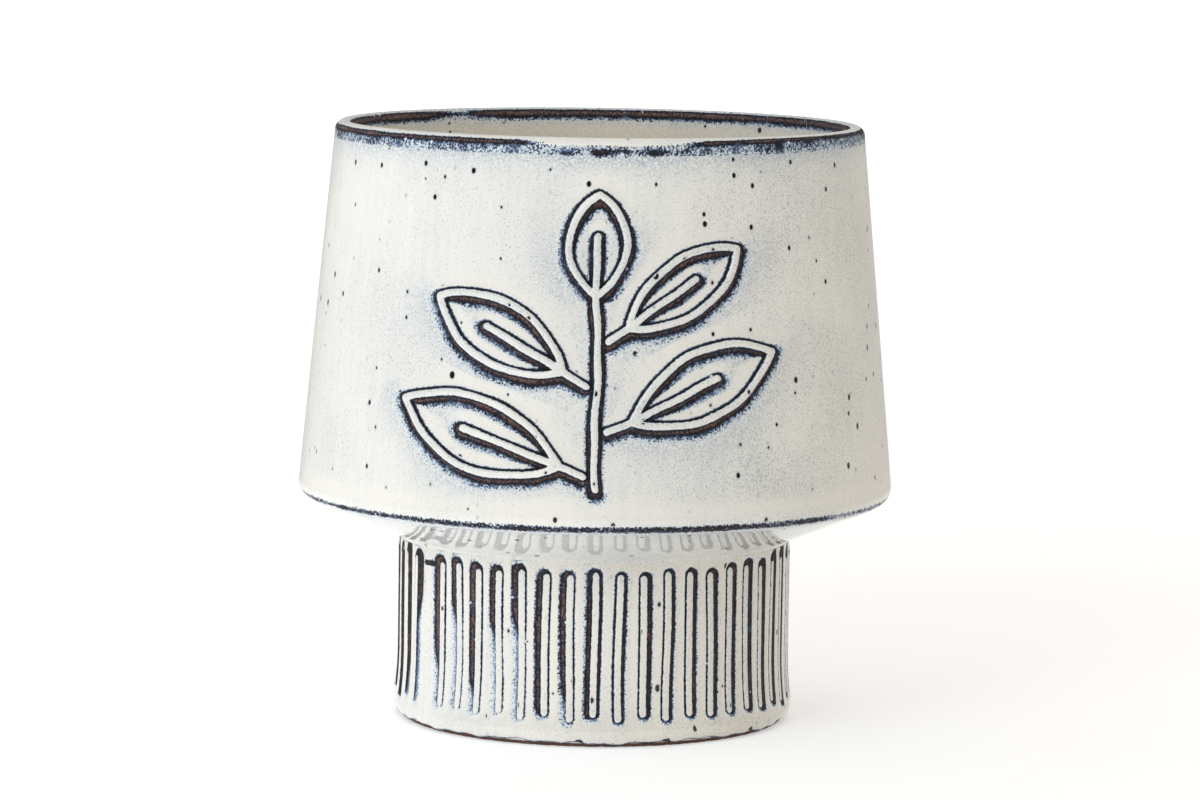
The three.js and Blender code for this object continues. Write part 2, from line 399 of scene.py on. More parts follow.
# %% Floods, chips and the dash
# Angle of each chip round the foot in radians, and its height in millimetres.
CHIPS = ((0.915, 1.3), (0.38, 0.8), (-0.06, 0.7), (2.1, 1.2), (-2.6, 1.0))
CHIP_HALF_ANGLE = 0.02
DASH = {"start": -7.5, "end": -1.2, "below_top": 2.0, "half_width": 0.5}
EDGE_FRINGE = 0.5
FLOOD_MARGIN = 0.1
flood = rib_flood(rib_number, foot_height, foot_angles) * np.clip(rib_shelter + FLOOD_MARGIN, 0, 1)
chip = sum(tall * np.exp(-((foot_angles - at) / CHIP_HALF_ANGLE) ** 4) for at, tall in CHIPS)
from_first_rib = (foot_angles - FIRST_RIB + math.pi) % (2 * math.pi) - math.pi
dash = distance_to_line(foot_height - RIB_TOP + DASH["below_top"], from_first_rib * FOOT_RADIUS,
                        DASH["start"], DASH["end"]) - DASH["half_width"]
base_edge = glaze_field(foot_height - BEAD_BOTTOM - chip, EDGE_FRINGE)
dash_edge = glaze_field(dash, EDGE_FRINGE)
print("chips at the base:", len(CHIPS))

# %% [markdown]
# ## Glaze on the foot
# The finish reads a few numbers at each point. Those in millimetres are the distance past the edge of the
# bare clay and the width of the blue fringe beside it. Haze turns the open glaze blue, or clearer below zero.
# Unrest makes an edge ragged, warmth turns the glaze to a warmer cream that is painted warm shade, and stipple
# adds fine dots.

# %% Fields of the foot
RIB_FRINGE = {"all": 0.15, "lee": 0.15, "restless": 0.35, "flood": 1.2, "end": 0.5}
RIB_HAZE = {"reach": 1.2, "share": 0.6, "top": 0.35, "flood": 0.35, "end": 0.7, "end_reach": 1.5}
RIB_UNREST = {"all": 0.45, "lee": 0.3, "restless": 0.1, "mottle": 0.5, "calm": 0.5}
FLOOD_COVER = 2.6
SIDE_TOP_LOSS = 0.9
BARE_LIMIT = {"all": -0.35, "restless": 2}
# The foot lies in the drum's shade, deepest on the right, and its warmer cream is painted warm shade.
FOOT_SHADE_WARMTH = {"all": 0.2, "right": 0.5}
FOOT_STIPPLE = 1.5
foot_right = np.sin(foot_angles)
far_right = smooth_step(4 * foot_right - 3)
right_side = smooth_step(3 * foot_right - 0.6)
shaded_side_share = smooth_step(0.5 + 0.6 * foot_right)
restless = np.clip(-bare_side(foot_angles), 0, 1)
rib_end = np.clip(rib_below, 0, 1) ** 2
mottle = np.maximum(0, np.sin(2.2 * rib_number + 0.6)) ** 6

rib_fringe = (RIB_FRINGE["all"] + (RIB_FRINGE["lee"] + RIB_FRINGE["restless"] * restless) * rib_shelter
              + RIB_FRINGE["flood"] * flood + RIB_FRINGE["end"] * rib_end)
rib_top_loss = TOP_LOSS + SIDE_TOP_LOSS * far_right
foot_fields = strip_fields(rib_away, rib_bare - FLOOD_COVER * flood, rib_shelter, rib_fringe,
                           RIB_HAZE["reach"], rib_top_loss)
past_rib = foot_fields["past_bare_mm"]
foot_fields["past_bare_mm"] = np.maximum(past_rib, BARE_LIMIT["all"] - BARE_LIMIT["restless"] * restless)

# The upper parts of the rib tops on the right are turned a darker blue-grey than the gaps.
right_rib_top_grey = RIB_HAZE["top"] * right_side * rib_upper
end_haze = RIB_HAZE["flood"] * flood + RIB_HAZE["end"] * rib_end
side_haze = RIB_HAZE["share"] * foot_fields["haze"] + end_haze * fading_from(past_rib, RIB_HAZE["end_reach"])
foot_fields["haze"] = np.where(rib_away < STRIP_TOP, right_rib_top_grey, side_haze)
restless_unrest = (RIB_UNREST["restless"] + RIB_UNREST["mottle"] * mottle) * restless
rib_unrest = RIB_UNREST["all"] + RIB_UNREST["lee"] * rib_shelter + restless_unrest
foot_fields["unrest"] = rib_unrest * (1 - RIB_UNREST["calm"] * flood)
foot_fields["shade_warmth"] = FOOT_SHADE_WARMTH["all"] + FOOT_SHADE_WARMTH["right"] * shaded_side_share
foot_fields["stipple"] = FOOT_STIPPLE * smooth_step(1.2 * foot_right)
foot_fields["turned_edge_mm"] = np.where(outside, np.minimum(base_edge, dash_edge), FAR)
print("fields of the foot:", ", ".join(foot_fields))

# %% [markdown]
# ## Surface of the foot
# The ribs rise only a little out of the wall, since the glaze lies thick between them. The bead at the base
# is uneven, as drops of glaze gathered there, and the chips are knocked out of it.

# %% Foot surface
BEAD_WAVE = 0.16
BEAD_TOP = 3
BEAD_FADE = 1.5
CHIP_DEPTH = 0.15
drops = np.sin(7 * foot_angles + 1) + np.sin(19 * foot_angles) + np.sin(43 * foot_angles + 2)
near_bead = np.where(outside, np.clip((BEAD_TOP - foot_height) / BEAD_FADE, 0, 1), 0)
bead_relief = (BEAD_WAVE * drops - CHIP_DEPTH * chip) * near_bead
foot_relief = strip_relief(rib_away, rib_bare, RIB_PROUD) * outside + bead_relief
foot = turned_piece("ribbed_foot", foot_outline, foot_angles, foot_relief, foot_fields)

# %% [markdown]
# ## The leaf sprig
# The sprig is a stem with a leaf at its tip and two pairs of leaves below, rolled out as strips and pressed
# on. It is drawn flat, as arcs and straight lines, and then laid round the wall. Curve objects could draw it,
# but a distance to the nearest strip is what the relief and the glaze both need.

# %% Sprig of leaves
SPRIG_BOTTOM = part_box("sprig_stem")[0].z / MM + STRIP_WIDTH / 2
SPRIG_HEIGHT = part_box("sprig_stem")[1].z / MM - SPRIG_BOTTOM
FIRST_LEAF = 0.04 * SPRIG_HEIGHT
LEAF_SPACING = 0.15 * SPRIG_HEIGHT
STALK = 0.06 * SPRIG_HEIGHT
VEIN_SHARE = 0.62
LOW_LEAF = {"length": 0.66, "width": 0.275, "lean": math.radians(71)}
HIGH_LEAF = {"length": 0.5, "width": 0.225, "lean": math.radians(56)}
TIP_LEAF = {"length": 0.38, "width": 0.225}
SPRIG_PROUD = 1.3
LEAF_SIDES = (-1, 1, -1, 1)
SLOW_WAVER, QUICK_WAVER = 0.35, 0.15


def distance_to_arc(x, y, centre, radius, half_angle, facing):
    dx, dy = (x - centre[0]) * facing, y - centre[1]
    on_arc = np.abs(np.arctan2(dy, dx)) <= half_angle
    end_x, end_y = radius * math.cos(half_angle), radius * math.sin(half_angle)
    to_end = np.hypot(dx - end_x, np.abs(dy) - end_y)
    return np.where(on_arc, np.abs(np.hypot(dx, dy) - radius), to_end)


def leaf_distance(x, y, length, width, stalk):
    outer = (length ** 2 + width ** 2) / (4 * width)
    offset = outer - width / 2
    middle = stalk + length / 2
    radius = outer - STRIP_WIDTH / 2
    half_angle = math.acos(offset / radius)
    away = distance_to_line(x, y, 0, stalk + VEIN_SHARE * length - STRIP_WIDTH / 2)
    for facing in (1, -1):
        side = distance_to_arc(x, y, (-facing * offset, middle), radius, half_angle, facing)
        away = np.minimum(away, side)
    return away


def sprig_distance(across, up):
    tip_length = TIP_LEAF["length"] * SPRIG_HEIGHT
    away = leaf_distance(across, up, tip_length, TIP_LEAF["width"] * SPRIG_HEIGHT, SPRIG_HEIGHT - tip_length)
    for place, side in enumerate(LEAF_SIDES):
        share = place / (len(LEAF_SIDES) - 1)
        length, width, lean = (LOW_LEAF[key] + (HIGH_LEAF[key] - LOW_LEAF[key]) * share
                               for key in ("length", "width", "lean"))
        x = across - side * STRIP_WIDTH
        y = up - FIRST_LEAF - place * LEAF_SPACING
        along = side * x * math.sin(lean) + y * math.cos(lean)
        aside = x * math.cos(lean) - side * y * math.sin(lean)
        leaf = leaf_distance(aside, along, length * SPRIG_HEIGHT, width * SPRIG_HEIGHT, STALK)
        away = np.minimum(away, leaf)
    return away


def hand_laid(across, up):
    sway = SLOW_WAVER * np.sin(up / 6.5 + across / 11) + QUICK_WAVER * np.sin(up / 2.3 - across / 3.1)
    lift = SLOW_WAVER * np.sin(across / 7 + 1) + QUICK_WAVER * np.sin(across / 2.6 + up / 3.7)
    return sprig_distance(across + sway, up + lift)


print("sprig:", len(LEAF_SIDES) + 1, "leaves,", round(SPRIG_HEIGHT, 1), "mm tall")

# %% [markdown]
# ## Outline of the drum
# The drum's wall tapers to a full round lip, and turns under at a rounded edge to a conical underside.
# Inside, the wall curves into a dish that slopes to a round well in the foot. Columns are close together on
# the front, where the sprig is, and wider apart behind.

# %% Outline of the drum
FRONT_HALF_ANGLE = math.radians(43)
FRONT_STEP = 0.5
BACK_STEP = 5.0
SPRIG_MARGIN = {"below": 5, "above": 3}
LIP_DEPTH = 4
front_count = round(2 * FRONT_HALF_ANGLE * DRUM["radius"] / FRONT_STEP)
back_count = round((2 * math.pi - 2 * FRONT_HALF_ANGLE) * DRUM["radius"] / BACK_STEP)
drum_angles = np.concatenate((
    np.linspace(-FRONT_HALF_ANGLE, FRONT_HALF_ANGLE, front_count, endpoint=False),
    np.linspace(FRONT_HALF_ANGLE, 2 * math.pi - FRONT_HALF_ANGLE, back_count, endpoint=False),
))

edge_centre = (DRUM["radius"] - EDGE_ROUND, WIDEST_HEIGHT)
under_angle = UNDERSIDE_SLOPE - math.pi / 2
edge_start = (edge_centre[0] + EDGE_ROUND * math.cos(under_angle),
              edge_centre[1] + EDGE_ROUND * math.sin(under_angle))
edge_end = (edge_centre[0] + EDGE_ROUND * math.cos(DRUM_LEAN),
            edge_centre[1] + EDGE_ROUND * math.sin(DRUM_LEAN))
neck_centre = (FOOT_RADIUS + NECK_ROUND, COLLAR["top"])
neck_end = (neck_centre[0] - NECK_ROUND * math.sin(UNDERSIDE_SLOPE),
            neck_centre[1] + NECK_ROUND * math.cos(UNDERSIDE_SLOPE))
lip_centre = (RIM_RADIUS - LIP_ROUND, LIP_HEIGHT)
lip_inner = RIM_RADIUS - DRUM_WALL
cove_top = DISH["top"] + INSIDE_COVE
cove_radius = drum_radius_at(cove_top) - DRUM_WALL
dish_flat = edge_start[0] - DISH_THICKNESS / math.sin(UNDERSIDE_SLOPE)
dish_edge = DISH["top"] - (dish_flat - WELL_RADIUS) * math.tan(UNDERSIDE_SLOPE)
sprig_low = SPRIG_BOTTOM - SPRIG_MARGIN["below"]
sprig_high = SPRIG_BOTTOM + SPRIG_HEIGHT + SPRIG_MARGIN["above"]
wall_low = (drum_radius_at(sprig_low), sprig_low)
wall_high = (drum_radius_at(sprig_high), sprig_high)

drum_outline = outline(
    arc(neck_centre, NECK_ROUND, math.pi, math.pi / 2 + UNDERSIDE_SLOPE, ROW_STEP["neck"]),
    line(neck_end, edge_start, ROW_STEP["underside"]),
    arc(edge_centre, EDGE_ROUND, under_angle, DRUM_LEAN, ROW_STEP["edge"]),
    line(edge_end, wall_low, ROW_STEP["wall"]),
    line(wall_low, wall_high, FRONT_STEP),
    line(wall_high, (RIM_RADIUS, LIP_HEIGHT), ROW_STEP["wall"]),
    arc(lip_centre, LIP_ROUND, 0, math.pi, ROW_STEP["lip"]),
    line((lip_inner, LIP_HEIGHT), (lip_inner, LIP_HEIGHT - LIP_DEPTH), ROW_STEP["wall"]),
    line((lip_inner, LIP_HEIGHT - LIP_DEPTH), (cove_radius, cove_top), ROW_STEP["inside"]),
    arc((cove_radius - INSIDE_COVE, cove_top), INSIDE_COVE, 0, -math.pi / 2, ROW_STEP["cove"]),
    line((cove_radius - INSIDE_COVE, DISH["top"]), (dish_flat, DISH["top"]), ROW_STEP["dish"]),
    line((dish_flat, DISH["top"]), (WELL_RADIUS, dish_edge), ROW_STEP["dish"]),
    line((WELL_RADIUS, dish_edge), (WELL_RADIUS, DISH["bottom"]), ROW_STEP["dish"]),
    line((WELL_RADIUS, DISH["bottom"]), (FOOT_RADIUS, DISH["bottom"]), ROW_STEP["joint"]),
)
print("drum outline:", len(drum_outline["points"]), "rows of", len(drum_angles), "columns")

# %% [markdown]
# ## The sprig on the wall
# The flat drawing is wrapped by arc length, so a leaf keeps its width where the wall tapers. The lee side of
# each strip, low and away from the front, has the wider band of bare clay.

# %% The sprig laid round the wall
SPRIG_BARE = {"all": 0.05, "lee": 0.9}
SPRIG_DROP = 0.45
SPRIG_TURN = 2.5
OUTER_SKIN = 1
drum_radius, drum_height = drum_outline["points"].T
on_wall = (drum_height > edge_end[1]) & (drum_height < LIP_HEIGHT) & (
    drum_radius > drum_radius_at(drum_height) - OUTER_SKIN)
signed_angles = np.where(drum_angles > math.pi, drum_angles - 2 * math.pi, drum_angles)
rightness = np.sin(signed_angles)
sprig_across = signed_angles[None, :] * drum_radius_at(drum_height)[:, None]
sprig_away = hand_laid(sprig_across, (drum_height - SPRIG_BOTTOM)[:, None])
sprig_away = np.where(on_wall[:, None], sprig_away, FAR)
sprig_side = np.clip(SPRIG_TURN * rightness, -1, 1)
sprig_shelter = lee_side(sprig_away, sprig_across, drum_outline["along"], sprig_side, SPRIG_DROP)
sprig_bare = SPRIG_BARE["all"] + SPRIG_BARE["lee"] * sprig_shelter ** 1.5
print("points on the strips of the sprig:", int((sprig_away < STRIP_TOP).sum()))

# %% [markdown]
# ## Where the glaze runs thin on the lip
# Along the outline, the lip breaks to brown clay on both sides of its crown. Outside, a belt of blue dots
# lies under the brown. At the front the brown line stops for a patch, where a chain of dark blots takes its
# place, and at the right it climbs a little. Each edge becomes a field that is below zero on bare clay and
# grows with the distance from it, so the finish can turn one number into brown, blue and cream.

# %% Fields of the lip
LIP_OUTSIDE = (1.95, 3.15)
LIP_INSIDE = (1.9, 4.0)
LIP_SHARPNESS = 1.6
BELT_END = 5.75
# The belt's glaze: its first thickness, how soon that is reached, how it grows, and where it ends.
BELT = {"start": 0.55, "step": 0.5, "slope": 0.1, "fade_from": 1.7, "fade": 0.35, "cut": 30}
BELT_DARKER = {"blots": 0.35, "right": 0.4}
RIGHT_RISE = {"upper": 0.5, "lower": 1.6}
BLOTS = (4.0, 5.2)
BLOT_SPREAD = 0.5
BLOT_FRINGE = 0.9
BLOT_DEPTH = -0.15
BLOT_COVER = {"all": 0.32, "between": 0.5, "from": 0.6}
INSIDE_FRINGE = (0.4, 1.1)
PATCH_ANGLE = 0.05
PATCH_HALF = 0.26
WASH = {"angle": -2.48, "half_angle": 0.09, "cover": 1.2}


def bare_band(position, start, end, start_fringe, end_fringe):
    return np.where(start - position > position - end, glaze_field(start - position, start_fringe),
                    glaze_field(position - end, end_fringe))


def belt_field(past, darker, below_belt):
    field = (BELT["start"] - darker) * smooth_step(past / BELT["step"]) + BELT["slope"] * past
    field = field + BELT["fade"] * np.maximum(0, past - BELT["fade_from"])
    return np.where(past > 0, field + BELT["cut"] * np.maximum(0, below_belt), LIP_SHARPNESS * past)


def along_at(point):
    return drum_outline["along"][np.argmin(np.hypot(*(drum_outline["points"] - point).T))]


past_lip = drum_outline["along"][:, None] - along_at((lip_centre[0], DRUM["top"]))
patch = np.exp(-((signed_angles - PATCH_ANGLE) / PATCH_HALF) ** 4)
blots = 0.55 * np.sin(37 * signed_angles + 0.5) + 0.45 * np.sin(61 * signed_angles + 2)
rise = RIGHT_RISE["upper"] * smooth_step(1.6 * rightness - 0.3)
into_band = LIP_OUTSIDE[0] - rise + past_lip
past_band = -past_lip - LIP_OUTSIDE[1] + RIGHT_RISE["lower"] * rise
below_belt = -past_lip - BELT_END
belt_darker = BELT_DARKER["blots"] * np.maximum(0, blots) + BELT_DARKER["right"] * rise
belt = belt_field(past_band, belt_darker, below_belt)
brown_lip = np.where(into_band > past_band, glaze_field(LIP_SHARPNESS * into_band, EDGE_FRINGE), belt)
between_blots = BLOT_COVER["all"] + BLOT_COVER["between"] * np.clip(BLOT_COVER["from"] - blots, 0, 1)
blot_band = bare_band(-past_lip, BLOTS[0], BLOTS[1] + BLOT_SPREAD * blots, BLOT_FRINGE, BLOT_FRINGE)
blot_chain = np.maximum(blot_band + between_blots, BLOT_DEPTH)
lip_outside = brown_lip + (blot_chain - brown_lip) * patch
wash = WASH["cover"] * np.exp(-((signed_angles - WASH["angle"]) / WASH["half_angle"]) ** 2)
lip_inside = np.where(past_lip > 0, bare_band(past_lip, *LIP_INSIDE, *INSIDE_FRINGE) + wash, FAR)
print("the belt ends", BELT_END, "mm from the crown of the lip")

# %% [markdown]
# ## Where the glaze runs thin under the drum
# The rounded edge under the drum has a narrow, feathered line of clay. It has one gap at the right and fades
# where the edge turns away from the front.

# %% Fields of the sill
SILL = (1.85, 3.15)
SILL_FRINGE = (0.6, 0.45)
SILL_LEFT = 0.35
SILL_GAP = {"angle": 0.95, "half_angle": 0.07, "cover": 0.9}
SILL_FADE = {"angle": math.radians(59), "turn": 0.09, "span": 0.25, "cover": 0.7}
# Under the sill the haze is partly blue glaze and partly painted shade: the soft shadow under the rounded
# edge, fading over 4 mm.
UNDER_SILL_HAZE_AND_SHADE = {"haze": 0.55, "reach": 4}
ABOVE_SILL = {"clear": 0.6, "middle": 4, "half": 3}
FEATHER_REACH = 5
above_sill = drum_outline["along"][:, None] - along_at(edge_start)
sill_gap = SILL_GAP["cover"] * np.exp(-((signed_angles - SILL_GAP["angle"]) / SILL_GAP["half_angle"]) ** 2)
turned_away = math.cos(SILL_FADE["angle"]) - np.cos(signed_angles + SILL_FADE["turn"])
side_on = smooth_step(turned_away / SILL_FADE["span"])
sill_start = SILL[0] + SILL_LEFT * smooth_step(-3 * rightness - 1)
sill = bare_band(above_sill, sill_start, SILL[1], *SILL_FRINGE) + sill_gap + SILL_FADE["cover"] * side_on
under_fade = fading_from(SILL[0] - above_sill, UNDER_SILL_HAZE_AND_SHADE["reach"])
sill_haze_and_shade = np.where(above_sill < SILL[0], UNDER_SILL_HAZE_AND_SHADE["haze"] * under_fade, 0)
over_middle = (above_sill - SILL[1] - ABOVE_SILL["middle"]) / ABOVE_SILL["half"]
above_roll = ABOVE_SILL["clear"] * np.exp(-over_middle ** 2)
sill_feather = np.clip(1 - np.abs(above_sill - SILL[1]) / FEATHER_REACH, 0, 1)
print("the bare line under the drum is", round(SILL[1] - SILL[0], 2), "mm wide")

# %% [markdown]
# ## Glaze on the drum
# The distances to the strips, the lip and the sill come together here. Blue haze hangs under the belt and
# inside the lip. Under the sill the haze is partly painted shade, the soft shadow under the rounded edge. The
# inside and the right wall are more stippled than the left, and their warmer cream is painted warm shade.

# %% Drum surface
SPRIG_FRINGE = 0.25
SPRIG_HAZE = 3.2
BELT_HAZE = {"all": 0.6, "patch": 0.3, "right": 0.5, "reach": 2.5, "patch_reach": 1.5}
INSIDE_HAZE = {"share": 0.7, "reach": 4}
INSIDE_STEP = {"start": 3, "span": 6}
INSIDE_STIPPLE = 1.6
# The right wall lies in shade, and its warmer cream is painted warm shade.
RIGHT_SHADE_WARMTH = 0.25
DRUM_UNREST = {"all": 0.5, "lip": 0.5, "patch": 0.6, "feather": 0.7, "strip": 0.5}
LIP_REACH = 16
STRIP_REACH = 1.5

sprig_fringe = SPRIG_FRINGE + sprig_shelter ** 2
drum_fields = strip_fields(sprig_away, sprig_bare, sprig_shelter, sprig_fringe, SPRIG_HAZE, TOP_LOSS)
drum_fields["turned_edge_mm"] = np.minimum.reduce((
    np.where(past_lip < 0, lip_outside, FAR),
    np.broadcast_to(lip_inside, sprig_away.shape),
    np.broadcast_to(sill, sprig_away.shape),
))
inside_fade = fading_from(past_lip - LIP_INSIDE[1], INSIDE_HAZE["reach"])
inside_haze = np.where(past_lip > 0, INSIDE_HAZE["share"] * inside_fade, 0)
belt_haze = BELT_HAZE["all"] + BELT_HAZE["patch"] * patch + BELT_HAZE["right"] * rise
belt_reach = BELT_HAZE["reach"] + BELT_HAZE["patch_reach"] * patch
# The haze under the sill adds painted shade below the rounded edge.
drum_fields["haze"] = drum_fields["haze"] - above_roll + sill_haze_and_shade + inside_haze + np.where(
    past_band > 0, belt_haze * fading_from(below_belt, belt_reach), 0)

inside = smooth_step((past_lip - INSIDE_STEP["start"]) / INSIDE_STEP["span"])
near_lip = smooth_step(1 - np.abs(past_lip) / LIP_REACH)
near_strip = sprig_shelter * fading_from(drum_fields["past_bare_mm"], STRIP_REACH)
drum_fields["feather"] = sill_feather
# Painted warm shade: the shaded inside and right wall turn a warmer cream.
drum_fields["shade_warmth"] = np.maximum(inside, RIGHT_SHADE_WARMTH * smooth_step(1.5 * rightness - 0.5))
lip_unrest = DRUM_UNREST["lip"] * near_lip * (1 + DRUM_UNREST["patch"] * patch)
drum_fields["unrest"] = (DRUM_UNREST["all"] + lip_unrest + DRUM_UNREST["feather"] * sill_feather
                         + DRUM_UNREST["strip"] * near_strip)
drum_fields["stipple"] = np.maximum(INSIDE_STIPPLE * inside, smooth_step(1.2 * rightness + 0.1))
drum_relief = np.where(on_wall[:, None], strip_relief(sprig_away, sprig_bare, SPRIG_PROUD), 0)
drum = turned_piece("glazed_drum", drum_outline, drum_angles, drum_relief, drum_fields)

# %% [markdown]
# ## Floor of the well
# The floor lies in the foot's well, with the faint spiral that fingers leave on the wheel. A flat disc would
# do from the front, but the spiral shows from above, so it is a relief on a turned disc with a tiny hub.

# %% Floor of the well
FLOOR_COLUMNS = 180
FLOOR_HUB = 0.3
FLOOR_STEP = {"under": 4.0, "side": 2.0, "top": 0.7, "hub": 3.0}
THROWING_RINGS = 5.0
SPIRAL_DEPTH = 0.22
SPIRAL_MARGIN = 6
floor_angles = np.linspace(0, 2 * math.pi, FLOOR_COLUMNS, endpoint=False)
floor_outline = outline(
    line((FLOOR_HUB, FLOOR["bottom"]), (FLOOR["radius"], FLOOR["bottom"]), FLOOR_STEP["under"]),
    line((FLOOR["radius"], FLOOR["bottom"]), (FLOOR["radius"], FLOOR["top"]), FLOOR_STEP["side"]),
    line((FLOOR["radius"], FLOOR["top"]), (FLOOR_HUB, FLOOR["top"]), FLOOR_STEP["top"]),
    line((FLOOR_HUB, FLOOR["top"]), (FLOOR_HUB, FLOOR["bottom"]), FLOOR_STEP["hub"]),
)
floor_radius, floor_height = floor_outline["points"].T
on_top = (floor_height > FLOOR["top"] - HAIR)[:, None]
spiral = SPIRAL_DEPTH * np.sin(2 * math.pi * floor_radius[:, None] / THROWING_RINGS + floor_angles)
from_rim = np.clip((FLOOR["radius"] - floor_radius[:, None]) / SPIRAL_MARGIN, 0, 1)
floor_relief = np.where(on_top, spiral * from_rim, 0)
# The well floor lies deep in shade and takes the full painted warm shade.
floor_fields = {"strip_top_mm": -FAR, "past_bare_mm": FAR, "fringe_mm": 1.0, "shade_warmth": 1.0,
                "turned_edge_mm": np.where(on_top, FAR, -1.0)}
floor = turned_piece("well_floor", floor_outline, floor_angles, floor_relief, floor_fields)

# %% [markdown]
# ## Standing ring
# The pot stands on a ring of bare clay, wiped clean of glaze before the firing. Its outer side is slightly
# gritty, so two fine waves dent it a little.

# %% Ring under the foot
RING_COLUMNS = 720
RING_INSET = 5.0
RING_CHAMFER = 0.6
RING_STEP = {"under": 0.6, "chamfer": 0.3, "rim": 0.35, "top": 1.0, "inner": 0.5}
GRIT_DEPTH = 0.05
GRIT_BAND = 1.0
ring_angles = np.linspace(0, 2 * math.pi, RING_COLUMNS, endpoint=False)
ring_inner = WELL_RADIUS - RING_INSET
ring_outline = outline(
    line((ring_inner + RING_CHAMFER, 0), (RING["radius"] - RING_CHAMFER, 0), RING_STEP["under"]),
    line((RING["radius"] - RING_CHAMFER, 0), (RING["radius"], RING_CHAMFER), RING_STEP["chamfer"]),
    line((RING["radius"], RING_CHAMFER), (RING["radius"], RING["top"]), RING_STEP["rim"]),
    line((RING["radius"], RING["top"]), (ring_inner, RING["top"]), RING_STEP["top"]),
    line((ring_inner, RING["top"]), (ring_inner, RING_CHAMFER), RING_STEP["inner"]),
    line((ring_inner, RING_CHAMFER), (ring_inner + RING_CHAMFER, 0), RING_STEP["chamfer"]),
)
ring_along = ring_outline["along"][:, None]
coarse_grit, fine_grit = np.sin(37 * ring_angles + 5 * ring_along), np.sin(91 * ring_angles - 7 * ring_along)
grit = GRIT_DEPTH * coarse_grit + GRIT_DEPTH * fine_grit
on_rim = (ring_outline["points"][:, 0] > RING["radius"] - GRIT_BAND)[:, None] & (ring_along > 0)
ring = turned_piece("clay_ring", ring_outline, ring_angles, np.where(on_rim, -np.abs(grit), 0), {})

# %% [markdown]
# ## Colours and nodes
# Colours are written as they look on a screen and turned into the linear light that Blender mixes. One small
# function adds a node, sets it and links it.

# %% Helpers for the finishes
def linear(hex_colour):
    channels = [int(hex_colour[i:i + 2], 16) / 255 for i in (1, 3, 5)]
    return [c / 12.92 if c <= 0.04045 else ((c + 0.055) / 1.055) ** 2.4 for c in channels] + [1.0]


def add_node(tree, kind, inputs=None, **settings):
    made = tree.nodes.new("ShaderNode" + kind)
    for name, value in settings.items():
        setattr(made, name, value)
    for socket, value in (inputs or {}).items():
        if isinstance(value, bpy.types.NodeSocket):
            tree.links.new(value, made.inputs[socket])
        else:
            made.inputs[socket].default_value = value
    return made


def new_finish(name):
    finish = bpy.data.materials.new(name)
    finish.use_nodes = True
    finish.node_tree.nodes.clear()
    return finish, finish.node_tree


def per_metre(size_mm):
    return 1 / (size_mm * MM)


print("cream on a screen is", [round(c, 3) for c in linear("#efeee9")], "in linear light")

# %% [markdown]
# ## Cream reactive glaze
# A thick stoneware glaze fired glossy: cream where it lies deep, blue where it thins, and gone where an edge
# pushed it away. The eye reads it by those breaks, by iron specks that melt up out of the clay, and by a
# soft, slightly uneven gloss. A painted texture could hold all that for one pot. Here the fields on the
# points give the distance to bare clay, and noises at the size of the real grain break it up.

# %% The glaze: how far each point is from bare clay
FIELDS = ("strip_top_mm", "past_bare_mm", "fringe_mm", "turned_edge_mm",
          "haze", "feather", "shade_warmth", "unrest", "stipple")
glaze, tree = new_finish("cream_reactive_glaze")
place = add_node(tree, "TexCoord").outputs["Object"]
strip_top, past_bare, fringe, turned_edge, haze, feather, shade_warmth, unrest, stipple = (
    add_node(tree, "Attribute", attribute_name=name).outputs["Fac"] for name in FIELDS)
bare_depth = add_node(tree, "Math", {0: past_bare, 1: 0.0}, operation="MINIMUM").outputs[0]
beyond = add_node(tree, "Math", {0: past_bare, 1: 0.0}, operation="MAXIMUM").outputs[0]
fringe_share = add_node(tree, "Math", {0: beyond, 1: fringe}, operation="DIVIDE").outputs[0]
outer_side = add_node(tree, "Math", {0: bare_depth, 1: fringe_share}, operation="ADD").outputs[0]
strip_side = add_node(tree, "Math", {0: outer_side, 1: strip_top}, operation="MAXIMUM").outputs[0]
open_edge = add_node(tree, "Math", {0: strip_side, 1: turned_edge}, operation="MINIMUM").outputs[0]
print("the glaze reads", len(FIELDS), "fields")

# %% [markdown]
# ## Ragged edges
# Each noise has a grain in millimetres, a detail, and the lowest and highest value that it adds. The sill is
# drawn into upright barbs, and small drops of glaze bridge the bare clay here and there.

# %% The glaze: ragged edges
NOISES = {
    "grain": (0.5, 2, -1.2, 1.2), "ragged": (1.8, 3, -0.22, 0.22), "teeth": (0.8, 1, -0.18, 0.18),
    "drift": (13, 2, -0.25, 0.25), "clouds": (30, 2, -1, 1), "fine": (0.42, 1, -1, 1), "peel": (5, 1, -1, 1)}
# Most of a noise lies between these two values.
NOISE_LOW, NOISE_HIGH = 0.34, 0.66
BARB_SIZE = Vector((per_metre(0.4), per_metre(0.4), per_metre(1.2)))
BRIDGE_CELL = 6
TOOTH_SHARE = 3.0
noise = {}
for name, (size, detail, low, high) in NOISES.items():
    cloud = add_node(tree, "TexNoise", {"Vector": place, "Scale": per_metre(size), "Detail": detail})
    noise[name] = add_node(tree, "MapRange", {
        "Value": cloud.outputs[0], "From Min": NOISE_LOW, "From Max": NOISE_HIGH,
        "To Min": low, "To Max": high}, clamp=False).outputs[0]

barb_place = add_node(tree, "VectorMath", {0: place, 1: BARB_SIZE}, operation="MULTIPLY").outputs[0]
barbs = add_node(tree, "TexNoise", {"Vector": barb_place, "Scale": 1.0, "Detail": 1.0}).outputs[0]
barb_mm = add_node(tree, "MapRange", {
    "Value": barbs, "From Min": 0.3, "From Max": 0.7, "To Min": -0.7, "To Max": 1.0}, clamp=False).outputs[0]
bridges = add_node(tree, "TexVoronoi", {"Vector": place, "Scale": per_metre(BRIDGE_CELL)}).outputs["Distance"]
bridge_mm = add_node(tree, "MapRange", {
    "Value": bridges, "From Min": 0.05, "From Max": 0.11, "To Min": 1.3, "To Max": 0.0}).outputs[0]

